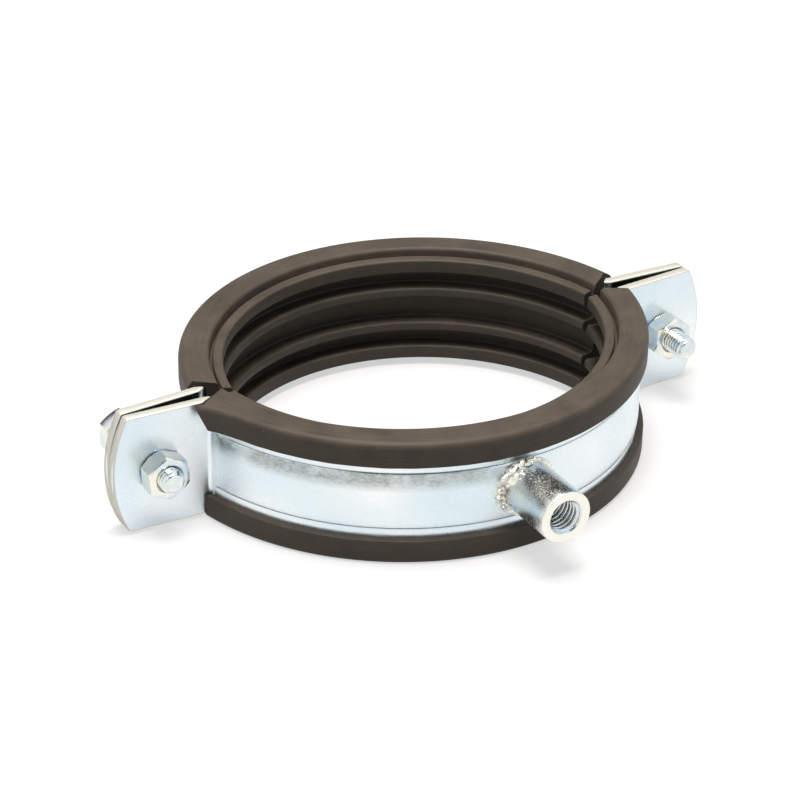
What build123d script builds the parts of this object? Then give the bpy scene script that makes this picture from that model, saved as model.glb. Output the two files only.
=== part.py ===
"""Rubber lined pipe clamp: two steel half bands, closed by two screws, with a welded boss for a rod.

Frame: the origin is on the pipe's axis, at the underside of the rubber. +Z runs up that axis,
+X to the right pair of ears, and the threaded boss points along -Y. The halves meet at y = 0.
All sizes are in millimetres.
"""

import os
from math import acos, asin, cos, degrees, radians, sin, sqrt, tan

from build123d import *

# Rubber liner, measured outwards from the face that grips the pipe
seat_radius = 50.0
rib_height = 4.0
web_thickness = 2.3
edge_cover = 0.8
lip_thickness = 1.8
lip_height = 6.2
lip_to_ear = 0.3
bead_height = 3.9
bead_setback = 1.5
groove_setback = 0.7
groove_width = 2.0
groove_depth = 2.5
thin_rib_width = 2.4
thin_rib_spacing = 9.6
liner_gap = 1.8
rubber_easing = 0.4

# Steel strip that both half bands are pressed from
strip_width = 30.0
strip_thickness = 2.5
arc_offset = 8.4
bend_radius = 1.2
emboss_height = 0.4
emboss_to_lip = 2.2

# Ears, through which the screws pass; their reach is measured from the band's outer radius
screw_reach = 11.6
ear_reach = 19.5
ear_bulge = 3.7
ear_tilt = 3.0
ear_tip_gap = 0.2
screw_hole_clearance = 0.5

# M6 screws and nuts
screw_diameter = 6.0
screw_length = 25.0
screw_tip_chamfer = 0.8
head_across_flats = 10.0
head_height = 4.4
slot_width = 1.6
slot_depth = 1.9
nut_across_flats = 10.0
nut_height = 5.0
thread_clearance = 0.05
left_tip_past_nut = 2.3
right_tip_past_nut = 6.3
nut_seat_clearance = 0.05
nut_mouth_chamfer = 0.5
hexagon_face_ratio = 0.96
hexagon_cone = 30.0

# Threaded boss and its weld
boss_diameter = 13.0
boss_length = 16.1
boss_hole_diameter = 6.8
boss_mouth_chamfer = 0.7
boss_edge_chamfer = 0.3
weld_leg = 1.8
weld_toe = 0.9
weld_sag = 0.22
weld_to_lip = 0.15

# Sizes that follow from the ones above
mid_height = strip_width / 2 + edge_cover
band_inner_radius = seat_radius + rib_height + web_thickness
band_outer_radius = band_inner_radius + strip_thickness
liner_outer_radius = band_outer_radius + lip_thickness
recess_radius = seat_radius + rib_height
emboss_width = strip_width + 2 * edge_cover - 2 * lip_height - 2 * emboss_to_lip
screw_x = band_outer_radius + screw_reach
ear_corner_x = band_outer_radius + ear_reach
ear_bulge_x = ear_corner_x + ear_bulge


def ear_face_y(x, depth):
    """Height along Y of a front ear at x; depth 0 is its split side, strip_thickness its nut side."""
    lean = (ear_bulge_x - x) * tan(radians(ear_tilt))
    return -ear_tip_gap / 2 - depth / cos(radians(ear_tilt)) - lean


def on_arc(radius, angle_below_x):
    """A point on a circle about the front half's own centre, at an angle below the X direction."""
    angle = radians(angle_below_x)
    return (radius * cos(angle), arc_offset - radius * sin(angle))


# Where the strip's centre line leaves the arc and runs out along an ear
centre_radius = band_inner_radius + strip_thickness / 2
ear_normal_angle = 90 - ear_tilt
ear_line_distance = (arc_offset - ear_face_y(0, strip_thickness / 2)) * cos(radians(ear_tilt))
arc_end_angle = ear_normal_angle - degrees(acos(ear_line_distance / centre_radius))

# Where the outer face of the band starts to bend into the ear
bend_centre_distance = ear_line_distance + strip_thickness / 2 + bend_radius
bend_start_angle = ear_normal_angle - degrees(
    acos(bend_centre_distance / (band_outer_radius + bend_radius))
)

# Each liner is cut off square to its arc, and its lips run on into the corners below the ears
liner_end_angle = degrees(asin((arc_offset + liner_gap / 2) / seat_radius))
lip_end_angle = bend_start_angle + 0.3
lip_corner_x = on_arc(band_outer_radius + bend_radius, bend_start_angle)[0]
lip_tip_x = liner_outer_radius + lip_thickness

# The pressing that both half bands share: an arc of strip with an ear bent out at each end
with BuildPart() as half_band:
    with BuildSketch(Plane.XY.offset(mid_height - strip_width / 2)) as plan:
        with BuildLine() as centre_line:
            arc = CenterArc(
                (0, arc_offset), centre_radius, 180 + arc_end_angle, 180 - 2 * arc_end_angle
            )
            blank_end = (ear_bulge_x + 1, ear_face_y(ear_bulge_x + 1, strip_thickness / 2))
            Line((-blank_end[0], blank_end[1]), arc @ 0)
            Line(arc @ 1, blank_end)
            bends = centre_line.vertices().sort_by(Axis.X)[1:-1]
            fillet(bends, bend_radius + strip_thickness / 2)
        trace(line_width=strip_thickness)
    extrude(amount=strip_width)

    # A shallow rib is pressed outwards along the middle of the strip, between the liner's lips
    emboss_start = 180 + bend_start_angle
    emboss_sweep = 180 - 2 * bend_start_angle
    for inner, outer, emboss_mode in (
        (band_outer_radius, band_outer_radius + emboss_height, Mode.ADD),
        (band_inner_radius, band_inner_radius + emboss_height, Mode.SUBTRACT),
    ):
        with BuildSketch(Plane.XY.offset(mid_height - emboss_width / 2)):
            with BuildLine():
                near = CenterArc((0, arc_offset), inner, emboss_start, emboss_sweep)
                far = CenterArc((0, arc_offset), outer, emboss_start, emboss_sweep)
                Line(near @ 0, far @ 0)
                Line(near @ 1, far @ 1)
            make_face()
        extrude(amount=emboss_width, mode=emboss_mode)

    # Each ear ends in a shallow curve between two square corners
    with BuildSketch(Plane.XZ) as ear_ends:
        with BuildLine():
            ThreePointArc(
                (ear_corner_x, mid_height - strip_width / 2),
                (ear_bulge_x, mid_height),
                (ear_corner_x, mid_height + strip_width / 2),
            )
            Polyline(
                (ear_corner_x, mid_height + strip_width / 2),
                (ear_corner_x, mid_height + strip_width),
                (ear_bulge_x + strip_width, mid_height + strip_width),
                (ear_bulge_x + strip_width, mid_height - strip_width),
                (ear_corner_x, mid_height - strip_width),
                (ear_corner_x, mid_height - strip_width / 2),
            )
        make_face()
        mirror(about=Plane.YZ)
    extrude(amount=strip_width / 2, both=True, mode=Mode.SUBTRACT)

    # Clearance holes for the screws
    with BuildSketch(Plane.XZ):
        with Locations((-screw_x, mid_height), (screw_x, mid_height)):
            Circle(screw_diameter / 2 + screw_hole_clearance)
    extrude(amount=strip_width / 2, both=True, mode=Mode.SUBTRACT)

with BuildPart() as front_band:
    add(half_band.part)
with BuildPart() as rear_band:
    add(half_band.part.rotate(Axis.Z, 180))

# The liner that both halves share: one section, swept round its arc and cut off square
section_plane = Plane(
    origin=(0, arc_offset, mid_height),
    x_dir=(cos(radians(liner_end_angle)), -sin(radians(liner_end_angle)), 0),
    z_dir=(-sin(radians(liner_end_angle)), -cos(radians(liner_end_angle)), 0),
)
bead_top = mid_height - bead_setback
bead_bottom = bead_top - bead_height
groove_floor = mid_height - groove_depth
groove_outer = band_inner_radius - groove_setback
groove_inner = groove_outer - groove_width
channel_top = strip_width / 2
lip_bottom = mid_height - lip_height
with BuildPart() as half_liner:
    with BuildSketch(section_plane) as section:
        with BuildLine():
            Polyline(
                (recess_radius, 0),
                (recess_radius, bead_bottom),
                (seat_radius, bead_bottom),
                (seat_radius, bead_top),
                (groove_inner, bead_top),
                (groove_inner, groove_floor),
                (groove_outer, groove_floor),
                (groove_outer, mid_height),
                (liner_outer_radius, mid_height),
                (liner_outer_radius, lip_bottom),
                (band_outer_radius, lip_bottom),
                (band_outer_radius, channel_top),
                (band_inner_radius, channel_top),
                (band_inner_radius, 0),
                close=True,
            )
        make_face()
        with Locations((recess_radius - rib_height / 2, thin_rib_spacing / 2)):
            Rectangle(rib_height, thin_rib_width)
        outer_corner = section.vertices().sort_by(lambda corner: corner.X + corner.Y)[-1]
        inner_corners = section.vertices().filter_by_position(
            Axis.X, seat_radius, groove_outer, (True, True)
        )
        eased_corners = inner_corners.filter_by(lambda corner: corner.Y > 0.1)
        chamfer([outer_corner, *eased_corners], rubber_easing)
        mirror(about=Plane.XZ)
    revolve(axis=Axis((0, arc_offset, 0), (0, 0, 1)), revolution_arc=-(180 - 2 * liner_end_angle))

    # The lips are trimmed to follow the bend of the strip and then the face of the ear
    with BuildSketch(Plane.XY) as lip_trim:
        with BuildLine():
            Polyline(
                on_arc(band_inner_radius, liner_end_angle - 0.5),
                on_arc(band_outer_radius, lip_end_angle),
                (lip_corner_x, ear_face_y(lip_corner_x, strip_thickness) - lip_to_ear),
                (lip_tip_x, ear_face_y(lip_tip_x, strip_thickness) - lip_to_ear),
                (lip_tip_x, 0),
                close=True,
            )
        make_face()
        mirror(about=Plane.YZ)
    extrude(amount=2 * mid_height, mode=Mode.SUBTRACT)

# Threaded boss for a hanger rod: it stands on the front band, saddled to the band's curve
boss_root_y = arc_offset - band_outer_radius - emboss_height
boss_tip_y = boss_root_y - boss_length
boss_plane = Plane(origin=(0, boss_tip_y, mid_height), x_dir=(1, 0, 0), z_dir=(0, 1, 0))
weld_radius = boss_diameter / 2 + weld_toe
with BuildPart() as boss:
    with BuildSketch(boss_plane):
        Circle(boss_diameter / 2)
    extrude(amount=boss_length + strip_thickness / 2)
    chamfer(boss.edges().filter_by(GeomType.CIRCLE).sort_by(Axis.Y)[0], boss_edge_chamfer)
    with BuildSketch(boss_plane):
        Circle(boss_hole_diameter / 2)
    extrude(amount=boss_length + strip_thickness / 2, mode=Mode.SUBTRACT)
    mouth = boss.edges().filter_by(GeomType.CIRCLE).group_by(Axis.Y)[0].sort_by(SortBy.RADIUS)[0]
    chamfer(mouth, boss_mouth_chamfer)
    add(front_band.part, mode=Mode.SUBTRACT)

# The weld fills the corner between the boss and the band
with BuildPart() as weld_bead:
    with BuildSketch(Plane.XY.offset(mid_height)) as weld_section:
        with BuildLine():
            inner_toe = (boss_diameter / 2, boss_root_y + strip_thickness / 2)
            outer_toe = (weld_radius, boss_root_y + strip_thickness / 2)
            band_corner = (weld_radius, boss_root_y)
            boss_corner = (boss_diameter / 2, boss_root_y - weld_leg)
            Polyline(boss_corner, inner_toe, outer_toe, band_corner)
            SagittaArc(band_corner, boss_corner, -weld_sag)
        make_face()
    revolve(axis=Axis((0, 0, mid_height), (0, 1, 0)), revolution_arc=360)
    add(front_band.part, mode=Mode.SUBTRACT)

# The front liner leaves room for the boss and its weld; the rear one is turned about the axis
with BuildPart() as front_liner:
    add(half_liner.part)
    with BuildSketch(boss_plane):
        Circle(weld_radius + weld_to_lip)
    extrude(amount=boss_length + strip_thickness / 2, mode=Mode.SUBTRACT)
with BuildPart() as rear_liner:
    add(half_liner.part.rotate(Axis.Z, 180))

# A nut on each front ear; its back face just clears the leaning ear
nut_corner_radius = nut_across_flats / sqrt(3)
nut_back_y = ear_face_y(screw_x - nut_corner_radius, strip_thickness) - nut_seat_clearance
nut_front_y = nut_back_y - nut_height


def screw_axis(x):
    """The axis that a screw and its nut share."""
    return Axis((x, 0, mid_height), (0, 1, 0))


def across_axis(x, y):
    """A plane square to a screw's axis, facing along +Y."""
    return Plane(origin=(x, y, mid_height), x_dir=(1, 0, 0), z_dir=(0, 1, 0))


def along_axis(x, y):
    """A plane holding a screw's axis: its own x is the radius, its own y runs along +Y."""
    return Plane(origin=(x, y, mid_height), x_dir=(1, 0, 0), z_dir=(0, 0, 1))


def make_nut(x, turn):
    """Hexagon nut with its corners turned down to a cone on both faces."""
    face_radius = hexagon_face_ratio * nut_across_flats / 2
    drop = (nut_corner_radius - face_radius) * tan(radians(hexagon_cone))
    with BuildPart() as nut:
        with BuildSketch(across_axis(x, nut_front_y)):
            RegularPolygon(nut_corner_radius, 6, rotation=turn)
        extrude(amount=nut_height)
        with BuildSketch(along_axis(x, nut_front_y)):
            with BuildLine():
                Polyline(
                    (0, 0),
                    (face_radius, 0),
                    (nut_corner_radius, drop),
                    (nut_corner_radius, nut_height - drop),
                    (face_radius, nut_height),
                    (0, nut_height),
                    close=True,
                )
            make_face()
        revolve(axis=screw_axis(x), mode=Mode.INTERSECT)
        with BuildSketch(across_axis(x, nut_front_y)):
            Circle(screw_diameter / 2 + thread_clearance)
        extrude(amount=nut_height, mode=Mode.SUBTRACT)
        chamfer(nut.edges().filter_by(GeomType.CIRCLE).group_by(SortBy.RADIUS)[0], nut_mouth_chamfer)
    return nut.part


def make_screw(x, tip_past_nut, head_turn, slot_turn):
    """Hexagon head screw with a slot across its head."""
    head_seat_y = nut_front_y - tip_past_nut + screw_length
    corner_radius = head_across_flats / sqrt(3)
    face_radius = hexagon_face_ratio * head_across_flats / 2
    drop = (corner_radius - face_radius) * tan(radians(hexagon_cone))
    with BuildPart() as screw:
        with BuildSketch(across_axis(x, head_seat_y)):
            RegularPolygon(corner_radius, 6, rotation=head_turn)
        extrude(amount=head_height)
        with BuildSketch(along_axis(x, head_seat_y)):
            with BuildLine():
                Polyline(
                    (0, 0),
                    (corner_radius, 0),
                    (corner_radius, head_height - drop),
                    (face_radius, head_height),
                    (0, head_height),
                    close=True,
                )
            make_face()
        revolve(axis=screw_axis(x), mode=Mode.INTERSECT)
        with BuildSketch(across_axis(x, head_seat_y + head_height)):
            Rectangle(2 * head_across_flats, slot_width, rotation=slot_turn)
        extrude(amount=-slot_depth, mode=Mode.SUBTRACT)
        with BuildSketch(across_axis(x, head_seat_y)):
            Circle(screw_diameter / 2)
        extrude(amount=-screw_length)
        chamfer(screw.edges().sort_by(Axis.Y)[0], screw_tip_chamfer)
    return screw.part


with BuildPart() as left_nut:
    add(make_nut(-screw_x, 36))
with BuildPart() as right_nut:
    add(make_nut(screw_x, 24))
with BuildPart() as left_screw:
    add(make_screw(-screw_x, left_tip_past_nut, 30, 60))
with BuildPart() as right_screw:
    add(make_screw(screw_x, right_tip_past_nut, 8, 98))

# One STEP file for each piece
os.makedirs("parts", exist_ok=True)
pieces = {
    "front_band": front_band,
    "rear_band": rear_band,
    "front_liner": front_liner,
    "rear_liner": rear_liner,
    "boss": boss,
    "weld_bead": weld_bead,
    "left_nut": left_nut,
    "right_nut": right_nut,
    "left_screw": left_screw,
    "right_screw": right_screw,
}
for name, piece in pieces.items():
    piece.part.label = name
    export_step(piece.part, f"parts/{name}.step")
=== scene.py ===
"""Rubber lined pipe clamp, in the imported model's frame: half bands, liners, boss, weld, screws and nuts."""

import math
import random

import bmesh
import bpy
from mathutils import Matrix, Vector, noise


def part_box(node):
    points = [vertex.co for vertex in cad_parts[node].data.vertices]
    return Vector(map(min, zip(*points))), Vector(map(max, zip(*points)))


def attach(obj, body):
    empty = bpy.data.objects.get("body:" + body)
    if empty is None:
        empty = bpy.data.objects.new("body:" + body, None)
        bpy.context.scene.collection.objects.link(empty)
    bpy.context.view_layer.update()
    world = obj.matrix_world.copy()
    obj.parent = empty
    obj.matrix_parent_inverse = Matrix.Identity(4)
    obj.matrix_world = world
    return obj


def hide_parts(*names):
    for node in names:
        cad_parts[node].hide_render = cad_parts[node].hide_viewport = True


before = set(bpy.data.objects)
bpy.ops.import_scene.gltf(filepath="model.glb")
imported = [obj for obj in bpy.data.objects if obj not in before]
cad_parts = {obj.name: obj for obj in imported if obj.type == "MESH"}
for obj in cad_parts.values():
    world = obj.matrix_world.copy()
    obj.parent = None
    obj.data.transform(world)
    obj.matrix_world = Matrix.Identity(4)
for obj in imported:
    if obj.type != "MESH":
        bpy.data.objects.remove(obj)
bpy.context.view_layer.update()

# ------------------------------------------------------------------------------------------
# Half bands. Each is one pressing of zinc plated strip: an arc with an ear bent out at each
# end and a shallow rib pressed out along its middle. The strip's sheared edges are rolled.
# ------------------------------------------------------------------------------------------
mm = 0.001
band_low, band_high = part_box("front_band")
mid_height = (band_low.z + band_high.z) / 2
half_width = (band_high.z - band_low.z) / 2
ear_bulge_x = band_high.x
arc_offset = 8.4 * mm
strip_thickness = 2.5 * mm
band_outer_radius = arc_offset - band_low.y - 0.4 * mm
band_inner_radius = band_outer_radius - strip_thickness
bend_radius = 1.2 * mm
edge_roll = 0.4 * mm
ear_tilt = math.radians(3.0)
ear_tip_gap = 0.2 * mm
ear_tip_gap = 0.2 * mm
ear_bulge = 3.7 * mm
ear_end_radius = (half_width**2 + ear_bulge**2) / (2 * ear_bulge)
screw_x = 70.4 * mm
screw_hole_radius = 3.5 * mm
hole_edge_break = 0.25 * mm
rib_half_width = 7.4 * mm
rib_height = 0.4 * mm
rib_shoulder = 2.6 * mm
crease_depth = 0.10 * mm
crease_half_width = 0.22 * mm
rib_run_out = math.radians(3.0)
# Where the strip's middle leaves the arc and starts its bend, measured below the line through the ears
ear_root_y = -ear_tip_gap / 2 - strip_thickness / 2 / math.cos(ear_tilt) - ear_bulge_x * math.tan(ear_tilt)
ear_distance = (arc_offset - ear_root_y) * math.cos(ear_tilt)
middle_radius = (band_inner_radius + band_outer_radius) / 2
bend_middle = bend_radius + strip_thickness / 2
bend_reach = math.acos((ear_distance + bend_middle) / (middle_radius + bend_middle))
bend_start = math.pi / 2 - ear_tilt - bend_reach


def smooth_step(low, high, value):
    """0 below low, 1 above high, and a soft ramp between."""
    t = min(max((value - low) / (high - low), 0.0), 1.0)
    return t * t * (3 - 2 * t)


def strip_section():
    """The strip's section with rolled edges, as (depth, height) points; depth is away from the pipe."""
    half = strip_thickness / 2
    # Rows up one face, closer together over the rib's shoulder and crease
    shoulder = [rib_half_width - rib_shoulder * k / 5 for k in range(1, 6)]
    crease = [rib_half_width + crease_half_width * k / 2 for k in (-2, -1, 0, 1, 2)]
    face = [0.0, 2.4 * mm, *shoulder, *crease, 9.5 * mm, 12 * mm]
    rising = sorted({h for f in face for h in (-f, f)})
    roll = [math.radians(22.5 * k) for k in range(5)]
    insets = [(edge_roll * (1 - math.cos(turn)), edge_roll * (1 - math.sin(turn))) for turn in roll]
    section = []
    for side, heights in ((1, rising), (-1, rising[::-1])):
        section += [(side * half, height) for height in heights]
        section += [(side * (half - across), side * (half_width - down)) for across, down in insets]
        section += [(side * (across - half), side * (half_width - down)) for across, down in reversed(insets)]
    return section


def rib_rise(height):
    """How far the pressed rib stands out at a height: a rounded shoulder that ends in a fine crease."""
    inside = min(max((rib_half_width - abs(height)) / rib_shoulder, 0.0), 1.0)
    crease = max(0.0, 1 - abs(abs(height) - rib_half_width) / crease_half_width)
    return rib_height * math.sqrt(1 - (1 - inside) ** 2) - crease_depth * crease


def band_plan():
    """Stations along the right half of the centre line: (point, outward normal, rib share, ear share)."""
    centre = Vector((0, arc_offset))
    ear_up = Vector((-math.sin(ear_tilt), math.cos(ear_tilt)))
    last_outward = Vector((math.cos(bend_start), -math.sin(bend_start)))
    bend_centre = centre + (middle_radius + bend_middle) * last_outward
    stations = []
    arc_steps = 66
    for k in range(arc_steps + 1):
        angle = -math.pi / 2 + (math.pi / 2 - bend_start) * k / arc_steps
        outward = Vector((math.cos(angle), math.sin(angle)))
        rib = smooth_step(0.0, rib_run_out, -bend_start - angle)
        stations.append((centre + middle_radius * outward, outward, rib, 0.0))
    bend_steps = 14
    bend_sweep = math.pi / 2 - bend_start - ear_tilt
    for k in range(1, bend_steps + 1):
        angle = math.pi - bend_start - bend_sweep * k / bend_steps
        out = Vector((math.cos(angle), math.sin(angle)))
        stations.append((bend_centre + bend_middle * out, -out, 0.0, 0.0))
    root = stations[-1][0]
    ear_steps = 8
    for k in range(1, ear_steps + 1):
        stations.append((root, -ear_up, 0.0, k / ear_steps))
    return stations


def ear_end_x(height):
    """How far an ear reaches at a height: it ends in a shallow curve between two corners."""
    return ear_bulge_x - ear_end_radius + math.sqrt(ear_end_radius**2 - min(abs(height), half_width) ** 2)


def strip_point(station, depth, height, side, roll=0.0):
    """A point of the strip's surface. roll draws the section in where it rounds over at the ear's end."""
    place, outward, rib, share = station
    rise = rib * rib_rise(height)
    point = place + outward * (depth + rise)
    if share > 0:
        along = Vector((-outward.y, outward.x))
        run = (ear_end_x(height) - roll - place.x) / along.x - (depth + rise) * outward.x / along.x
        point = place + outward * (depth + rise) + along * run * share
    return Vector((side * point.x, point.y, mid_height + height))


def mesh_piece(name, vertices, faces, material, smooth_below=40.0):
    """A piece from its points and faces, shaded smooth except across sharp edges."""
    mesh = bpy.data.meshes.new(name)
    mesh.from_pydata([tuple(v) for v in vertices], [], faces)
    tidy = bmesh.new()
    tidy.from_mesh(mesh)
    bmesh.ops.remove_doubles(tidy, verts=tidy.verts, dist=1e-7)
    bmesh.ops.recalc_face_normals(tidy, faces=tidy.faces)
    tidy.to_mesh(mesh)
    tidy.free()
    mesh.shade_smooth()
    mesh.set_sharp_from_angle(angle=math.radians(smooth_below))
    mesh.materials.append(material)
    piece = bpy.data.objects.new(name, mesh)
    bpy.context.scene.collection.objects.link(piece)
    return piece


def ring_faces(first, count, rows, closed_rows=False):
    """Quads between rows of count points each, numbered from first."""
    faces = []
    for row in range(rows if closed_rows else rows - 1):
        for k in range(count):
            a = first + row * count + k
            b = first + row * count + (k + 1) % count
            up = ((row + 1) % rows - row) * count
            faces.append((a, b, b + up, a + up))
    return faces


def cut_away(piece, cutter):
    """Cuts one closed mesh out of another, and drops the cutter."""
    boolean = piece.modifiers.new("cut", "BOOLEAN")
    boolean.operation = "DIFFERENCE"
    boolean.solver = "EXACT"
    boolean.object = cutter
    bpy.context.view_layer.update()
    cut = bpy.data.meshes.new_from_object(piece.evaluated_get(bpy.context.evaluated_depsgraph_get()))
    piece.modifiers.clear()
    piece.data = cut
    bpy.data.objects.remove(cutter)
    cut.set_sharp_from_angle(angle=math.radians(40.0))


def flared_pin(x, y_low, y_high, radius, flare):
    """A cutter for a punched hole: a round pin whose ends flare out to break the hole's edges."""
    count = 64
    around = [2 * math.pi * k / count for k in range(count)]
    rows = [
        (y_low - 2 * mm, radius + flare + 2 * mm),
        (y_low + flare, radius),
        (y_high - flare, radius),
        (y_high + 2 * mm, radius + flare + 2 * mm),
    ]
    points = [Vector((x + r * math.cos(a), y, mid_height + r * math.sin(a))) for y, r in rows for a in around]
    faces = ring_faces(0, count, len(rows))
    faces.append(tuple(range(count)))
    faces.append(tuple(range((len(rows) - 1) * count, len(rows) * count)))
    return mesh_piece("hole_cutter", points, faces, bare_steel)


class Nodes:
    """Short hands for building the shader of one material or of the world."""

    def __init__(self, owner):
        owner.use_nodes = True
        self.tree = owner.node_tree
        self.surface = self.tree.nodes.get("Principled BSDF")

    def add(self, kind, **settings):
        made = self.tree.nodes.new(kind)
        for key, value in settings.items():
            if key in made.inputs:
                made.inputs[key].default_value = value
            else:
                setattr(made, key, value)
        return made

    def join(self, output, entry):
        self.tree.links.new(output, entry)

    def feed(self, name, output):
        """Joins an output to one of the surface's own entries."""
        self.join(output, self.surface.inputs[name])

    def feeding(self, name):
        """The output that one of the surface's entries is joined to so far."""
        return self.surface.inputs[name].links[0].from_socket

    def place(self):
        """Where a spot lies in the piece's frame."""
        return self.add("ShaderNodeTexCoord").outputs["Object"]

    def axes(self, vector):
        """The x, y and z of a vector."""
        parts = self.add("ShaderNodeSeparateXYZ")
        self.join(vector, parts.inputs[0])
        return parts.outputs["X"], parts.outputs["Y"], parts.outputs["Z"]

    def work_out(self, operation, *operands):
        """Arithmetic on values, each of them another node's output or a number."""
        made = self.add("ShaderNodeMath", operation=operation)
        for entry, operand in zip(made.inputs, operands):
            if isinstance(operand, (int, float)):
                entry.default_value = operand
            else:
                self.join(operand, entry)
        return made.outputs[0]

    def product(self, first, *others):
        for other in others:
            first = self.work_out("MULTIPLY", first, other)
        return first

    def noise(self, where, size, detail, roughness):
        """Cloudy noise with blotches of about the given size."""
        made = self.add("ShaderNodeTexNoise", Scale=1 / size, Detail=detail, Roughness=roughness)
        self.join(where, made.inputs["Vector"])
        return made.outputs["Fac"]

    def ramp(self, value, low, high, to_low, to_high):
        """A value stretched from one range to another and held at its ends."""
        made = self.add("ShaderNodeMapRange")
        for key, end in {"From Min": low, "From Max": high, "To Min": to_low, "To Max": to_high}.items():
            made.inputs[key].default_value = end
        self.join(value, made.inputs["Value"])
        return made.outputs["Result"]

    def tint(self, share, colour, other):
        """A colour taken by a share of the way to another."""
        made = self.add("ShaderNodeMix", data_type="RGBA")
        self.join(share, made.inputs[0])
        self.join(colour, made.inputs[6])
        made.inputs[7].default_value = (*other, 1)
        return made.outputs[2]

    def bump(self, height, strength, distance, under=None):
        made = self.add("ShaderNodeBump", Strength=strength, Distance=distance)
        self.join(height, made.inputs["Height"])
        if under is not None:
            self.join(under, made.inputs["Normal"])
        return made.outputs["Normal"]


def zinc_plate(name, colours, roughness, grain, grain_size, cloud_size):
    """Bright zinc plating: two tints in clouds, paling where the clouds peak, with grain and dull patches."""
    material = bpy.data.materials.new(name)
    nodes = Nodes(material)
    nodes.surface.inputs["Metallic"].default_value = 1.0
    place = nodes.place()
    hues = nodes.add("ShaderNodeValToRGB")
    hues.color_ramp.elements.new(0.5)
    for stop, position, colour in zip(hues.color_ramp.elements, (0.36, 0.66, 1.0), (*colours, (1, 1, 1))):
        stop.position = position
        stop.color = (*colour, 1)
    nodes.join(nodes.noise(place, cloud_size, 3.0, 0.5), hues.inputs["Fac"])
    specks = nodes.noise(place, grain_size, 4.0, 0.65)
    shade = nodes.add("ShaderNodeMix", data_type="RGBA", blend_type="MULTIPLY")
    shade.inputs[0].default_value = 1.0
    nodes.join(hues.outputs["Color"], shade.inputs[6])
    nodes.join(nodes.ramp(specks, 0.3, 0.7, 0.93, 1.03), shade.inputs[7])
    nodes.feed("Base Color", shade.outputs[2])
    patches = nodes.noise(place, 6 * mm, 5.0, 0.6)
    nodes.feed("Roughness", nodes.ramp(patches, 0.35, 0.7, roughness - 0.05, roughness + 0.09))
    nodes.feed("Normal", nodes.bump(specks, grain, 0.05 * mm))
    return material


def strip_zinc():
    """The half bands' plating, with a mottled grey strip under the rib's upper crease, painted shade on the
    faces the ears turn to each other, and creamy on the sheared edges.
    """
    material = zinc_plate(
        "band_zinc",
        colours=((0.66, 0.77, 0.83), (0.80, 0.85, 0.88)),
        roughness=0.30,
        grain=0.25,
        grain_size=0.35 * mm,
        cloud_size=24 * mm,
    )
    nodes = Nodes(material)
    place = nodes.place()
    x, y, z = nodes.axes(place)
    along_x = nodes.work_out("ABSOLUTE", x)
    # A mottled grey strip under the rib's upper crease, on one side of each half and short of the ear
    flattened = nodes.add("ShaderNodeVectorMath", operation="MULTIPLY")
    flattened.inputs[1].default_value = (1, 1, 2.5)
    nodes.join(place, flattened.inputs[0])
    crease_z = mid_height + rib_half_width
    grey_mottle = nodes.product(
        nodes.ramp(z, crease_z - 5.0 * mm, crease_z - 2.4 * mm, 0, 1),
        nodes.ramp(z, crease_z - 0.2 * mm, crease_z, 1, 0),
        nodes.ramp(nodes.noise(place, 11 * mm, 3.0, 0.55), 0.36, 0.56, 0.25, 1.0),
        nodes.ramp(nodes.noise(flattened.outputs[0], 1.1 * mm, 4.0, 0.65), 0.30, 0.65, 0.45, 1.0),
        nodes.ramp(nodes.product(x, nodes.work_out("SIGN", y)), 2 * mm, 16 * mm, 0, 1),
        nodes.ramp(along_x, 57.0 * mm, 57.6 * mm, 1, 0),
    )
    grey_mottled = nodes.tint(grey_mottle, nodes.feeding("Base Color"), (0.29, 0.32, 0.31))
    # Painted shade: the faces that the ears turn to each other are painted dark for the shade in the narrow
    # gap between them, most towards the ring
    slope = math.tan(ear_tilt)
    face_y = nodes.work_out("MULTIPLY_ADD", along_x, slope, -ear_bulge_x * slope - ear_tip_gap / 2)
    painted_gap_shade = nodes.product(
        nodes.ramp(nodes.work_out("ADD", nodes.work_out("ABSOLUTE", y), face_y), 0.15 * mm, 0.4 * mm, 1, 0),
        nodes.ramp(along_x, 60 * mm, 80 * mm, 1, 0.45),
        nodes.ramp(along_x, 57 * mm, 58 * mm, 0, 1),
    )
    shaded = nodes.tint(painted_gap_shade, grey_mottled, (0.07, 0.07, 0.07))
    # Sheared edges: the strip's long edges and the ears' curved ends are rougher and a little yellow
    off_middle = nodes.work_out("ABSOLUTE", nodes.work_out("SUBTRACT", z, mid_height))
    squares = nodes.work_out("SUBTRACT", ear_end_radius**2, nodes.product(off_middle, off_middle))
    bow = nodes.work_out("SQRT", squares)
    end_line = ear_bulge_x - ear_end_radius
    edge = nodes.work_out(
        "MAXIMUM",
        nodes.ramp(off_middle, half_width - edge_roll, half_width - 0.5 * edge_roll, 0, 1),
        nodes.ramp(nodes.work_out("SUBTRACT", along_x, bow), end_line - 0.4 * mm, end_line - 0.2 * mm, 0, 1),
    )
    nodes.feed("Base Color", nodes.tint(edge, shaded, (0.56, 0.55, 0.50)))
    rough = nodes.add("ShaderNodeMix", data_type="FLOAT")
    nodes.join(edge, rough.inputs[0])
    nodes.join(nodes.feeding("Roughness"), rough.inputs[2])
    rough.inputs[3].default_value = 0.62
    nodes.feed("Roughness", rough.outputs[0])
    return material


bare_steel = bpy.data.materials.new("bare_steel")
band_zinc = strip_zinc()


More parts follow.
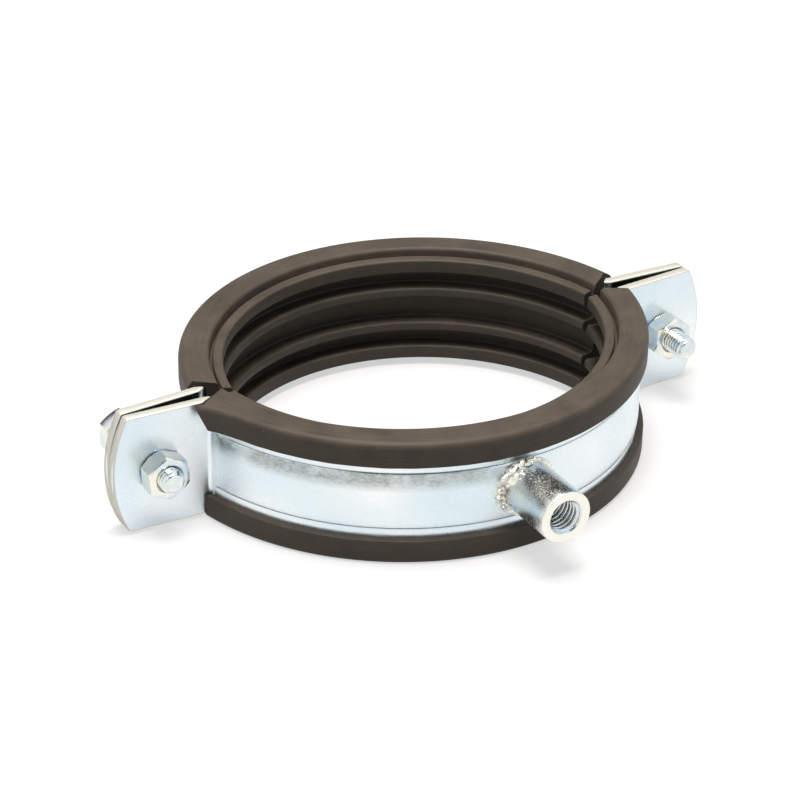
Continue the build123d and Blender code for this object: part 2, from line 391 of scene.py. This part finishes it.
def pressed_half_band(name, turned):
    """One half band; turned makes the rear one, which is the same pressing turned about the pipe's axis."""
    section = strip_section()
    count = len(section)
    right = band_plan()
    rows = []
    for side, stations in ((-1, right[:0:-1]), (1, right)):
        for station in stations:
            rows.append([strip_point(station, d, h, side) for d, h in section])
    # The ears' ends round over: the section draws in towards its own middle
    near_edge = half_width - 0.9 * edge_roll
    ends = []
    for side in (-1, 1):
        rolled = []
        for k in range(4):
            turn = math.radians(30 * k)
            draw = edge_roll * (1 - math.cos(turn))
            back = edge_roll * (1 - math.sin(turn))
            row = []
            for d, h in section:
                lower = draw * smooth_step(near_edge, half_width, abs(h))
                drawn = [math.copysign(max(abs(v) - by, 0), v) for v, by in ((d, draw), (h, lower))]
                row.append(strip_point(right[-1], *drawn, side, roll=back))
            rolled.append(row)
        ends.append(rolled)
    rows = [*reversed(ends[0]), *rows[1:-1], *ends[1]]
    points = [p for row in rows for p in row]
    faces = ring_faces(0, count, len(rows))
    last = (len(rows) - 1) * count
    for start in (0, last):
        for k in range(count // 2):
            a, b = start + k, start + k + 1
            c, d = start + (count - 2 - k) % count, start + (count - 1 - k) % count
            if len({a, b, c, d}) == 4:
                faces.append((a, b, c, d))
    piece = mesh_piece(name, points, faces, band_zinc)
    for x in (-screw_x, screw_x):
        face_y = -ear_tip_gap / 2 - (ear_bulge_x - abs(x)) * math.tan(ear_tilt)
        cut_away(piece, flared_pin(x, face_y - strip_thickness, face_y, screw_hole_radius, hole_edge_break))
    if turned:
        piece.data.transform(Matrix.Rotation(math.pi, 4, "Z"))
    return piece


front_band = pressed_half_band("front_half_band", turned=False)
rear_band = pressed_half_band("rear_half_band", turned=True)
for piece, node, body in ((front_band, "front_band", "front_half"), (rear_band, "rear_band", "rear_half")):
    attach(piece, body)
    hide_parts(node)

# ------------------------------------------------------------------------------------------
# Liners. Each is one length of extruded rubber profile pushed over the strip's edges: two
# ribs and two thick beads grip the pipe, and lips wrap round to the strip's outer face.
# ------------------------------------------------------------------------------------------
seat_radius = 50.0 * mm
recess_radius = 54.0 * mm
liner_outer_radius = 60.6 * mm
liner_half_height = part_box("front_liner")[1].z - mid_height
rib_low, rib_high = 3.6 * mm, 6.0 * mm
bead_low, bead_high = 10.4 * mm, 13.9 * mm
groove_height = 12.9 * mm
crown_radius = 53.4 * mm
lip_low = 9.6 * mm
slot_half_height = 15.0 * mm
crown_tip_up = 0.75 * mm
liner_end_gap = 0.9 * mm
liner_end_angle = math.asin((arc_offset + liner_end_gap) / seat_radius)
lip_to_ear = 0.35 * mm
lip_slack = 0.16 * mm
cut_wander = 0.012
# The front liner's upper left lip stands off the strip from this share of the way round. At its end it is
# turned this many degrees further and stands this far off, and its top is turned less and stands further off.
flare_from = 0.91
flare_turn, flare_turn_drop = 3.2, 2.7
flare_lift, flare_lift_rise = 1.9 * mm, 1.2 * mm


def rounded_outline(corners, steps=5):
    """Points of a closed outline whose corners, given as (radius, height, rounding), are rounded off."""
    outline = []
    total = len(corners)
    for k, (r, h, rounding) in enumerate(corners):
        here = Vector((r, h))
        if rounding == 0:
            outline.append(here)
            continue
        before = (Vector(corners[k - 1][:2]) - here).normalized()
        after = (Vector(corners[(k + 1) % total][:2]) - here).normalized()
        half_turn = before.angle(after) / 2
        setback = rounding / math.tan(half_turn)
        centre = here + (before + after).normalized() * rounding / math.sin(half_turn)
        first = (here + before * setback - centre).normalized()
        last = (here + after * setback - centre).normalized()
        for step in range(steps + 1):
            outline.append(centre + rounding * first.slerp(last, step / steps))
    return outline


def liner_outline():
    """The liner's moulded section, as (radius, height) points."""
    upper = [
        (recess_radius, rib_low, 0.5 * mm),
        (seat_radius, rib_low, 0.7 * mm),
        (seat_radius, rib_high, 0.7 * mm),
        (recess_radius, rib_high, 0.5 * mm),
        (recess_radius, bead_low, 0.5 * mm),
        (seat_radius, bead_low, 0.6 * mm),
        (seat_radius, bead_high, 0.6 * mm),
        (52.4 * mm, bead_high + 0.3 * mm, 0.4 * mm),
        (52.5 * mm, groove_height, 0.25 * mm),
        (53.1 * mm, groove_height, 0.25 * mm),
        (crown_radius, liner_half_height, 1.1 * mm),
        (liner_outer_radius, liner_half_height, 1.5 * mm),
        (liner_outer_radius, lip_low, 0.4 * mm),
        (band_outer_radius, lip_low, 0.2 * mm),
        (band_outer_radius, slot_half_height, 0),
        (band_inner_radius, slot_half_height, 0),
    ]
    lower = [(r, -h, rounding) for r, h, rounding in reversed(upper)]
    return rounded_outline(upper + lower)


def rubber(name, arc_centre_y):
    """Matte moulded rubber: dark warm grey, with faint streaks along the moulding and a few dust specks."""
    material = bpy.data.materials.new(name)
    nodes = Nodes(material)
    nodes.surface.inputs["Specular IOR Level"].default_value = 0.3
    place = nodes.place()
    # The streaks' noise is laid out by angle, radius and height, and drawn out along the arc
    x, y, z = nodes.axes(place)
    from_centre = nodes.work_out("SUBTRACT", y, arc_centre_y)
    along = nodes.add("ShaderNodeCombineXYZ")
    turned = nodes.work_out("ARCTAN2", from_centre, x)
    nodes.join(nodes.work_out("MULTIPLY", turned, 4 * mm), along.inputs["X"])
    squares = nodes.work_out("ADD", nodes.product(x, x), nodes.product(from_centre, from_centre))
    nodes.join(nodes.work_out("SQRT", squares), along.inputs["Y"])
    nodes.join(z, along.inputs["Z"])
    streaks = nodes.noise(along.outputs[0], 0.5 * mm, 3.0, 0.6)
    patches = nodes.noise(place, 9 * mm, 4.0, 0.55)
    mottle = nodes.work_out("MULTIPLY_ADD", streaks, 0.45, nodes.work_out("MULTIPLY", patches, 0.55))
    shade = nodes.add("ShaderNodeValToRGB")
    shade.color_ramp.elements[0].position = 0.34
    shade.color_ramp.elements[0].color = (0.040, 0.0315, 0.024, 1)
    shade.color_ramp.elements[1].position = 0.68
    shade.color_ramp.elements[1].color = (0.080, 0.063, 0.048, 1)
    nodes.join(mottle, shade.inputs["Fac"])
    dust = nodes.add("ShaderNodeTexVoronoi", Scale=1 / (5.5 * mm), Randomness=1.0)
    nodes.join(place, dust.inputs["Vector"])
    speck = nodes.work_out("LESS_THAN", dust.outputs["Distance"], 0.016)
    nodes.feed("Base Color", nodes.tint(speck, shade.outputs["Color"], (0.35, 0.32, 0.28)))
    nodes.feed("Roughness", nodes.ramp(mottle, 0.3, 0.7, 0.50, 0.66))
    pores = nodes.bump(nodes.noise(place, 0.25 * mm, 3.0, 0.6), 0.12, 0.05 * mm)
    nodes.feed("Normal", nodes.bump(streaks, 0.25, 0.08 * mm, under=pores))
    return material


def lip_start(r):
    """The angle at which a lip ends: it follows the strip's bend, then stops just short of the ear's face."""
    bend_end = bend_start + math.radians(0.3)
    face_y = ear_tip_gap / 2 + strip_thickness / math.cos(ear_tilt) + (ear_bulge_x - r) * math.tan(ear_tilt)
    at_face = math.asin((arc_offset + face_y + lip_to_ear) / r)
    bent = smooth_step(band_outer_radius, band_outer_radius + bend_radius, r)
    return bend_end + (at_face - bend_end) * bent


def moulded_liner(name, turned):
    """One liner, swept round its half's arc and cut by hand; its lips run into the corners below the ears."""
    outline = liner_outline()
    count = len(outline)
    steps = 170
    seed = 7.0 if turned else 2.0
    rows = []
    for step in range(steps + 1):
        share = step / steps
        for r, h in outline:
            past = smooth_step(band_inner_radius, band_outer_radius, r)
            start = liner_end_angle + (lip_start(max(r, band_outer_radius)) - liner_end_angle) * past
            angle = -start - (math.pi - 2 * start) * share
            flare = 0 if turned or h < 0 else past * max(0, (share - flare_from) / (1 - flare_from)) ** 2
            upward = smooth_step(lip_low, liner_half_height, h)
            angle += math.radians(flare_turn - flare_turn_drop * upward) * flare
            away = r + (flare_lift + flare_lift_rise * upward) * flare
            # The cut ends wander a little, and lips stretched over a strip's edge never lie quite true
            wander = abs(noise.noise(Vector((h / (3.2 * mm), r / (2.5 * mm), seed + 20 * round(share)))))
            near_end = smooth_step(0.02, 0.0, min(share, 1 - share))
            angle -= math.copysign(cut_wander * wander * near_end * (1 - past), share - 0.5)
            slack = noise.noise(Vector((26 * share, seed, 3.0 if h > 0 else 9.0)))
            lip = past * smooth_step(13 * mm, 10 * mm, abs(h))
            height = h - math.copysign(lip_slack * slack * lip, h)
            # The front liner's top tips up a little at its inner edge, where the strip pushes it over
            if not turned and h > 0:
                inner = (liner_outer_radius - r) / (7 * mm) * smooth_step(14.2 * mm, slot_half_height, h)
                height += crown_tip_up * min(inner, 1.0) * math.sin(math.pi * share)
            spot = (away * math.cos(angle), arc_offset + away * math.sin(angle), mid_height + height)
            rows.append(Vector(spot))
    faces = ring_faces(0, count, steps + 1)
    faces.append(tuple(range(count)))
    faces.append(tuple(range(steps * count, (steps + 1) * count)))
    centre_y = -arc_offset if turned else arc_offset
    piece = mesh_piece(name, rows, faces, rubber(name + "_rubber", centre_y), smooth_below=35.0)
    if turned:
        piece.data.transform(Matrix.Rotation(math.pi, 4, "Z"))
    return piece


front_liner = moulded_liner("front_rubber_liner", turned=False)
rear_liner = moulded_liner("rear_rubber_liner", turned=True)
for piece, node, body in ((front_liner, "front_liner", "front_half"), (rear_liner, "rear_liner", "rear_half")):
    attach(piece, body)
    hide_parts(node)

# ------------------------------------------------------------------------------------------
# Boss. A length of round bar, turned, drilled and tapped M8, whose root is saddled to the
# band. Its mouth is countersunk and its rim just broken, and it is plated with the band.
# ------------------------------------------------------------------------------------------
boss_radius = 6.5 * mm
boss_tip_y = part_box("boss")[0].y
boss_sides = 48
boss_pitch = 1.25 * mm
boss_root_radius = 3.4 * mm
boss_crest_depth = 0.62 * mm
boss_mouth_radius = 4.45 * mm
boss_rim = 0.35 * mm
saddle_radius = band_outer_radius + rib_height


def band_face_y(x):
    """Where the band's pressed rib lies across from the middle of the arc."""
    return arc_offset - math.sqrt(saddle_radius**2 - x**2)


def thread_height(turns):
    """Height of a rolled thread's surface, 0 at the root and 1 at the crest, by place along one pitch."""
    wave = 1 - abs(2 * (turns % 1.0) - 1)
    return smooth_step(0.12, 0.86, wave)


def threaded_wall(axis_x, start_y, pitch, sides, rows, wall_radius, limit):
    """Rows of points round a thread along +Y, one row for each side in a pitch, so that the crest follows
    the rows' diagonals. wall_radius(height) gives the thread's own radius and limit(radius, y) trims it."""
    points = []
    for row in range(rows + 1):
        y = start_y + row * pitch / sides
        for k in range(sides):
            angle = 2 * math.pi * k / sides
            r = limit(wall_radius(thread_height((row - k) / sides)), y)
            points.append(Vector((axis_x + r * math.cos(angle), y, mid_height + r * math.sin(angle))))
    return points


def threaded_faces(first, sides, rows):
    """Triangles of a threaded wall, split along its crest."""
    faces = []
    for row in range(rows):
        for k in range(sides):
            a = first + row * sides + k
            b = first + row * sides + (k + 1) % sides
            faces.append((a, b, b + sides))
            faces.append((a, b + sides, a + sides))
    return faces


def turned_boss():
    """The boss as one closed skin: outer wall, end face, countersink, thread and saddle."""
    points = []

    def ring(r, y=None):
        for k in range(boss_sides):
            angle = 2 * math.pi * k / boss_sides
            level = band_face_y(r * math.cos(angle)) if y is None else y
            points.append(Vector((r * math.cos(angle), level, mid_height + r * math.sin(angle))))

    ring(boss_root_radius)
    ring(boss_radius)
    wall_rows = 9
    saddle_foot = band_face_y(0)
    wall_start = saddle_foot - 0.4 * mm
    for k in range(1, wall_rows + 1):
        ring(boss_radius, wall_start + (boss_tip_y + boss_rim - wall_start) * k / wall_rows)
    for k in range(1, 5):
        turn = math.radians(22.5 * k)
        ring(boss_radius - boss_rim * (1 - math.cos(turn)), boss_tip_y + boss_rim * (1 - math.sin(turn)))
    ring(boss_mouth_radius + 0.15 * mm, boss_tip_y)
    ring(boss_mouth_radius + 0.04 * mm, boss_tip_y + 0.04 * mm)
    faces = ring_faces(0, boss_sides, len(points) // boss_sides)
    first = len(points)
    start_y = boss_tip_y + 0.12 * mm
    rows = int((saddle_foot - 0.3 * mm - start_y) / (boss_pitch / boss_sides))

    def crest(t):
        return boss_root_radius + boss_crest_depth * t

    def countersunk(r, y):
        return max(r, boss_mouth_radius - (y - boss_tip_y))

    points.extend(threaded_wall(0, start_y, boss_pitch, boss_sides, rows, crest, countersunk))
    faces += ring_faces(first - boss_sides, boss_sides, 2)
    faces += threaded_faces(first, boss_sides, rows)
    last = first + rows * boss_sides
    faces += [(last + k, last + (k + 1) % boss_sides, (k + 1) % boss_sides, k) for k in range(boss_sides)]
    return mesh_piece("threaded_boss", points, faces, boss_zinc, smooth_below=38.0)


boss_zinc = zinc_plate(
    "boss_zinc",
    colours=((0.58, 0.68, 0.76), (0.82, 0.79, 0.69)),
    roughness=0.20,
    grain=0.8,
    grain_size=0.6 * mm,
    cloud_size=8 * mm,
)
# The end face is creamier than the wall, and fine flecks all over are duller than the rest
nodes = Nodes(boss_zinc)
place = nodes.place()
end_face = nodes.ramp(nodes.axes(place)[1], boss_tip_y + 0.05 * mm, boss_tip_y + 0.30 * mm, 1, 0)
nodes.feed("Base Color", nodes.tint(end_face, nodes.feeding("Base Color"), (0.84, 0.84, 0.77)))
flecks = nodes.ramp(nodes.noise(place, 0.4 * mm, 3.0, 0.7), 0.50, 0.66, 0.0, 0.22)
nodes.feed("Roughness", nodes.work_out("ADD", nodes.feeding("Roughness"), flecks))
boss = turned_boss()
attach(boss, "front_half")
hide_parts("boss")

# ------------------------------------------------------------------------------------------
# Weld. A run of short overlapping beads round the boss's root, thickest on the upper left
# where it was started, plated over with the rest.
# ------------------------------------------------------------------------------------------
collar_reach = 0.9 * mm
collar_height = 0.7 * mm
heap_reach = 1.3 * mm
heap_height = 2.4 * mm
blob_scatter = 0.45
blob_rows = (
    # A row's distance out from the boss and up off the band in mm, its first and last angle, its spacing
    (1.5, 0.2, 108, 205, 13),
    (0.8, 0.7, 92, 212, 12),
    (0.1, 1.3, 98, 178, 14),
    (-0.1, 2.2, 112, 158, 15),
)


def weld_blobs():
    """The blobs of a hand-run weld, as (middle, radius): scattered in rows round the boss's upper left."""
    scatter = random.Random(11)
    blobs = []
    for row_out, row_up, degrees, last_degrees, spacing in blob_rows:
        while degrees < last_degrees:
            angle = math.radians(degrees)
            reach = boss_radius + (row_out + scatter.uniform(-blob_scatter, blob_scatter)) * mm
            x = reach * math.cos(angle)
            up = (row_up + scatter.uniform(-blob_scatter, blob_scatter)) * mm
            middle = Vector((x, band_face_y(x) - up, mid_height + reach * math.sin(angle)))
            blobs.append((middle, scatter.uniform(0.5, 1.15) * mm))
            degrees += spacing * scatter.uniform(0.5, 1.5)
    return blobs


def lumpy_weld():
    """The weld as a ring: a low flat collar, with round blobs piled on it where it was run by hand."""
    sides, section_steps = 288, 22
    blobs = weld_blobs()
    points = []
    for k in range(sides):
        angle = 2 * math.pi * k / sides
        degrees = math.degrees(angle)
        across = Vector((math.cos(angle), 0, math.sin(angle)))
        heaped = smooth_step(86, 112, degrees) * smooth_step(214, 186, degrees)
        reach_out = collar_reach + heap_reach * heaped * abs(across.x) ** 0.5
        pile = collar_height + heap_height * smooth_step(100, 125, degrees) * smooth_step(172, 145, degrees)
        for step in range(section_steps + 1):
            turn = math.pi / 2 * step / section_steps
            # A squared-off quarter round, so that the collar has a flat top and a steep rim
            square = max(math.cos(turn), math.sin(turn))
            bulk = 1 - 0.3 * heaped * math.sin(2 * turn)
            out = reach_out * min(1.0, math.cos(turn) / square) * bulk
            up = pile * min(1.0, math.sin(turn) / square) * bulk
            x = (boss_radius + out) * across.x
            spot = Vector((x, band_face_y(x) - up, mid_height + (boss_radius + out) * across.z))
            away = (across * math.cos(turn) * 0.7 + Vector((0, -1, 0)) * (0.4 + math.sin(turn))).normalized()
            swell = 0.0
            for middle, radius in blobs:
                # How far along its own direction this spot must move to reach the blob's skin
                gap = spot - middle
                along = gap.dot(away)
                under = along**2 - gap.length_squared + radius**2
                if under > 0:
                    swell = max(swell, -along + math.sqrt(under))
            edge = math.sin(turn * 2) ** 0.35 if 0 < step < section_steps else 0.0
            craggy = 1 + 0.45 * noise.noise(spot / (0.45 * mm))
            rough = 0.14 * mm * noise.noise(spot / (0.6 * mm))
            points.append(spot + away * (swell * craggy + rough) * edge)
        # Each row ends inside the boss's wall, so that no gap shows
        inner = boss_radius - 0.4 * mm
        x = inner * across.x
        points.append(Vector((x, band_face_y(x) + 0.3 * mm, mid_height + inner * across.z)))
    faces = ring_faces(0, section_steps + 2, sides, closed_rows=True)
    return mesh_piece("weld", points, faces, weld_zinc, smooth_below=50.0)


weld_zinc = zinc_plate(
    "weld_zinc",
    colours=((0.60, 0.60, 0.58), (0.92, 0.89, 0.80)),
    roughness=0.26,
    grain=0.5,
    grain_size=0.5 * mm,
    cloud_size=3 * mm,
)
nodes = Nodes(weld_zinc)
# Dark spots scattered at random over the weld's colour
dark_spots = nodes.ramp(nodes.noise(nodes.place(), 0.9 * mm, 2.0, 0.6), 0.30, 0.42, 0.75, 0.0)
nodes.feed("Base Color", nodes.tint(dark_spots, nodes.feeding("Base Color"), (0.12, 0.10, 0.08)))
weld = lumpy_weld()
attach(weld, "front_half")
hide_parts("weld_bead")

# ------------------------------------------------------------------------------------------
# Screws. M6 hexagon head screws of 25 mm, threaded to the head, with a slot across the head
# so that either a spanner or a screwdriver turns them. They pass through both ears.
# ------------------------------------------------------------------------------------------
screw_sides = 36
screw_pitch = 1.0 * mm
screw_length = 25 * mm
screw_core_radius = 2.42 * mm
screw_crest_depth = 0.54 * mm
across_flats = 10 * mm
hexagon_face_radius = 4.85 * mm
hexagon_cone = math.tan(math.radians(30))


def all_round(value):
    """The same radius or depth at every point of a ring."""
    return lambda k: value


def hexagon_edge(k):
    """Distance from the axis to the hexagon's outline at the k-th point of a ring."""
    return across_flats / 2 / math.cos((2 * math.pi * k / screw_sides) % (math.pi / 3) - math.pi / 6)


def inside_edge(inset):
    return lambda k: hexagon_edge(k) - inset


def cone_drop(k):
    """How far below the face a hexagon's side begins, where its corner is turned down."""
    return (hexagon_edge(k) - hexagon_face_radius) * hexagon_cone


def hexagon_ring(x, y, turn, radius_at, y_at):
    """One ring of points on a hexagon whose corners stand at turn degrees."""
    points = []
    for k in range(screw_sides):
        angle = 2 * math.pi * k / screw_sides + math.radians(turn)
        r = radius_at(k)
        points.append(Vector((x + r * math.cos(angle), y + y_at(k), mid_height + r * math.sin(angle))))
    return points


def slotted_screw(name, node, head_turn, slot_turn):
    """A screw: its threaded shank, and its head as a skin of its own with the slot cut across it."""
    low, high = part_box(node)
    x = math.copysign(screw_x, low.x)
    tip_y, seat_y, top_y = low.y, low.y + screw_length, high.y
    rows = int(round((seat_y - tip_y) / (screw_pitch / screw_sides)))

    def crest(t):
        return screw_core_radius + screw_crest_depth * t

    def pointed(r, y):
        return min(r, screw_core_radius - 0.25 * mm + (y - tip_y))

    points = threaded_wall(x, tip_y, screw_pitch, screw_sides, rows, crest, pointed)
    faces = threaded_faces(0, screw_sides, rows)
    faces.append(tuple(range(screw_sides)))
    faces.append(tuple(range(rows * screw_sides, (rows + 1) * screw_sides)))
    first = len(points)
    core, washer = 2.0 * mm, hexagon_face_radius - 0.1 * mm
    rings = [
        hexagon_ring(x, seat_y, head_turn, all_round(core), all_round(0)),
        hexagon_ring(x, seat_y, head_turn, all_round(washer), all_round(0)),
        hexagon_ring(x, seat_y, head_turn, all_round(washer + 0.1 * mm), all_round(0.15 * mm)),
        hexagon_ring(x, seat_y, head_turn, inside_edge(0.1 * mm), all_round(0.2 * mm)),
        hexagon_ring(x, seat_y, head_turn, hexagon_edge, all_round(0.32 * mm)),
        hexagon_ring(x, top_y, head_turn, hexagon_edge, lambda k: -cone_drop(k) - 0.05 * mm),
        hexagon_ring(x, top_y, head_turn, inside_edge(0.08 * mm), lambda k: -cone_drop(k)),
        hexagon_ring(x, top_y, head_turn, all_round(hexagon_face_radius + 0.1 * mm), all_round(-0.05 * mm)),
        hexagon_ring(x, top_y, head_turn, all_round(hexagon_face_radius - 0.1 * mm), all_round(0)),
        hexagon_ring(x, top_y, head_turn, all_round(core), all_round(0)),
    ]
    for ring in rings:
        points += ring
    faces += ring_faces(first, screw_sides, len(rings))
    faces.append(tuple(range(first, first + screw_sides)))
    faces.append(tuple(range(len(points) - screw_sides, len(points))))
    screw = mesh_piece(name, points, faces, fastener_zinc, smooth_below=32.0)
    # The slot's cutter widens past the face, to break the slot's edges
    half, deep, long = 0.8 * mm, 1.9 * mm, 8 * mm
    levels = ((top_y - deep, half), (top_y - 0.15 * mm, half), (top_y + 0.5 * mm, half + 0.6 * mm))
    corners = ((-1, -1), (1, -1), (1, 1), (-1, 1))
    slot = [Vector((sx * long, y, sz * reach)) for y, reach in levels for sx, sz in corners]
    turn = Matrix.Rotation(-math.radians(slot_turn), 3, "Y")
    slot = [turn @ v + Vector((x, 0, mid_height)) for v in slot]
    cutter = mesh_piece("slot_cutter", slot, [*ring_faces(0, 4, 3), (0, 1, 2, 3), (8, 9, 10, 11)], bare_steel)
    cut_away(screw, cutter)
    return screw


fastener_zinc = zinc_plate(
    "fastener_zinc",
    colours=((0.62, 0.71, 0.78), (0.86, 0.83, 0.73)),
    roughness=0.17,
    grain=0.8,
    grain_size=0.6 * mm,
    cloud_size=5 * mm,
)
for side, head_turn, slot_turn in (("left", 30, 60), ("right", 8, 98)):
    screw = slotted_screw(side + "_slotted_screw", side + "_screw", head_turn, slot_turn)
    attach(screw, side + "_screw")
    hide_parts(side + "_screw")

# ------------------------------------------------------------------------------------------
# Nuts. M6 hexagon nuts of plated steel, one on each screw. They bear on the front ears, and
# their corners are turned down on both faces.
# ------------------------------------------------------------------------------------------


def hexagon_nut(name, node, turn):
    """A nut as one closed skin: its hexagon outside and its countersunk thread inside."""
    low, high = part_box(node)
    x = math.copysign(screw_x, low.x)
    front_y, back_y = low.y, high.y
    mouth, root = 3.55 * mm, screw_core_radius + 0.18 * mm
    inner_face = all_round(hexagon_face_radius - 0.12 * mm)
    outer_face = all_round(hexagon_face_radius + 0.12 * mm)
    rings = [
        hexagon_ring(x, front_y, turn, all_round(mouth), all_round(0)),
        hexagon_ring(x, front_y, turn, inner_face, all_round(0)),
        hexagon_ring(x, front_y, turn, outer_face, all_round(0.06 * mm)),
        hexagon_ring(x, front_y, turn, inside_edge(0.1 * mm), cone_drop),
        hexagon_ring(x, front_y, turn, hexagon_edge, lambda k: cone_drop(k) + 0.1 * mm),
        hexagon_ring(x, back_y, turn, hexagon_edge, lambda k: -cone_drop(k) - 0.1 * mm),
        hexagon_ring(x, back_y, turn, inside_edge(0.1 * mm), lambda k: -cone_drop(k)),
        hexagon_ring(x, back_y, turn, outer_face, all_round(-0.06 * mm)),
        hexagon_ring(x, back_y, turn, inner_face, all_round(0)),
        hexagon_ring(x, back_y, turn, all_round(mouth), all_round(0)),
    ]
    points = [p for ring in rings for p in ring]
    faces = ring_faces(0, screw_sides, len(rings))
    rows = int(round((back_y - front_y) / (screw_pitch / screw_sides)))
    first = len(points)

    def crest(t):
        return root + screw_crest_depth * t

    def countersunk(r, y):
        return max(r, mouth - (y - front_y), mouth - (back_y - y))

    wall = threaded_wall(x, front_y, screw_pitch, screw_sides, rows, crest, countersunk)
    spin = Matrix.Rotation(-math.radians(turn), 3, "Y")
    middle = Vector((x, 0, mid_height))
    points += [spin @ (p - middle) + middle for p in wall]
    faces += threaded_faces(first, screw_sides, rows)
    return mesh_piece(name, points, faces, fastener_zinc, smooth_below=32.0)


for side, turn in (("left", 36), ("right", 24)):
    nut = hexagon_nut(side + "_hexagon_nut", side + "_nut", turn)
    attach(nut, side + "_nut")
    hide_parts(side + "_nut")

bpy.data.materials.remove(bare_steel)

# ------------------------------------------------------------------------------------------
# Studio. A pale floor that the clamp lies on, a white surround and soft lamps, with a long
# lens looking down from the front left.
# ------------------------------------------------------------------------------------------
floor_mesh = bpy.data.meshes.new("floor")
floor_corners = [(-4, -4, 0), (4, -4, 0), (4, 4, 0), (-4, 4, 0)]
floor_mesh.from_pydata(floor_corners, [], [(0, 1, 2, 3)])
floor = bpy.data.objects.new("floor", floor_mesh)
bpy.context.scene.collection.objects.link(floor)
floor_paint = bpy.data.materials.new("floor_paint")
nodes = Nodes(floor_paint)
nodes.surface.inputs["Base Color"].default_value = (0.32, 0.32, 0.32, 1)
nodes.surface.inputs["Roughness"].default_value = 0.9
nodes.surface.inputs["Specular IOR Level"].default_value = 0.0
nodes.surface.inputs["Emission Color"].default_value = (1, 1, 1, 1)
# The floor looks white by itself to the camera and in reflections, but lights nothing
rays = nodes.add("ShaderNodeLightPath")
seen = nodes.work_out("ADD", rays.outputs["Is Camera Ray"], rays.outputs["Is Glossy Ray"])
nodes.feed("Emission Strength", nodes.work_out("MULTIPLY", seen, 0.60))
floor_mesh.materials.append(floor_paint)

# The surround is white where it is seen, and lights the clamp only faintly
world = bpy.data.worlds.new("surround")
bpy.context.scene.world = world
nodes = Nodes(world)
sky = nodes.tree.nodes["Background"]
sky.inputs["Color"].default_value = (1, 1, 1, 1)
rays = nodes.add("ShaderNodeLightPath")
seen = nodes.work_out("ADD", rays.outputs["Is Camera Ray"], rays.outputs["Is Glossy Ray"])
seen = nodes.work_out("ADD", seen, rays.outputs["Is Transmission Ray"])
nodes.join(nodes.ramp(seen, 0, 1, 0.15, 1.0), sky.inputs["Strength"])

for name, place, size, power, colour in (
    ("key_lamp", (-0.05, 0.0, 1.25), 0.7, 25.0, (1.0, 0.96, 0.90)),
    ("side_lamp", (-0.8, -0.1, 0.8), 0.6, 1.6, (1.0, 1.0, 1.0)),
    ("fill_lamp", (0.5, -0.8, 0.5), 0.8, 0.4, (1.0, 1.0, 1.0)),
):
    lamp = bpy.data.lights.new(name, "AREA")
    lamp.shape = "SQUARE"
    lamp.size = size
    lamp.energy = power
    lamp.color = colour
    holder = bpy.data.objects.new(name, lamp)
    holder.location = place
    holder.rotation_mode = "QUATERNION"
    holder.rotation_quaternion = Vector(place).to_track_quat("Z", "Y")
    bpy.context.scene.collection.objects.link(holder)

# Dark curved cards stand out of sight behind and in front, so that the bright metal has something to mirror
card_paint = bpy.data.materials.new("card_paint")
nodes = Nodes(card_paint)
nodes.surface.inputs["Base Color"].default_value = (0.02, 0.02, 0.02, 1)
nodes.surface.inputs["Roughness"].default_value = 1.0
for name, radius, low_z, high_z, first, last in (
    ("back_card", 1.2, 0.42, 1.60, -30, 52),
    ("front_card", 1.0, 0.60, 1.30, 172, 232),
):
    corners = []
    for k in range(13):
        azimuth = math.radians(first + (last - first) * k / 12)
        x, y = radius * math.sin(azimuth), radius * math.cos(azimuth)
        corners += [(x, y, low_z), (x, y, high_z)]
    card_mesh = bpy.data.meshes.new(name)
    card_mesh.from_pydata(corners, [], [(2 * k, 2 * k + 2, 2 * k + 3, 2 * k + 1) for k in range(12)])
    card_mesh.materials.append(card_paint)
    card = bpy.data.objects.new(name, card_mesh)
    bpy.context.scene.collection.objects.link(card)
    card.visible_camera = False
    card.visible_diffuse = False
    card.visible_shadow = False
    card.visible_transmission = False

camera_place = Vector((-0.343743, -0.559240, 0.381731))
camera_azimuth = math.radians(-31.2785)
camera_elevation = math.radians(29.3006)
camera_roll = math.radians(-1.1944)
back = Vector(
    (
        math.sin(camera_azimuth) * math.cos(camera_elevation),
        -math.cos(camera_azimuth) * math.cos(camera_elevation),
        math.sin(camera_elevation),
    )
)
level_right = Vector((math.cos(camera_azimuth), math.sin(camera_azimuth), 0))
level_up = back.cross(level_right)
right = math.cos(camera_roll) * level_right - math.sin(camera_roll) * level_up
up = math.sin(camera_roll) * level_right + math.cos(camera_roll) * level_up
camera = bpy.data.objects.new("camera", bpy.data.cameras.new("camera"))
camera.data.sensor_width = 36
camera.data.lens = 139.87
camera.matrix_world = Matrix.Translation(camera_place) @ Matrix((right, up, back)).transposed().to_4x4()
bpy.context.scene.collection.objects.link(camera)
bpy.context.scene.camera = camera
bpy.context.scene.view_settings.view_transform = "Standard"
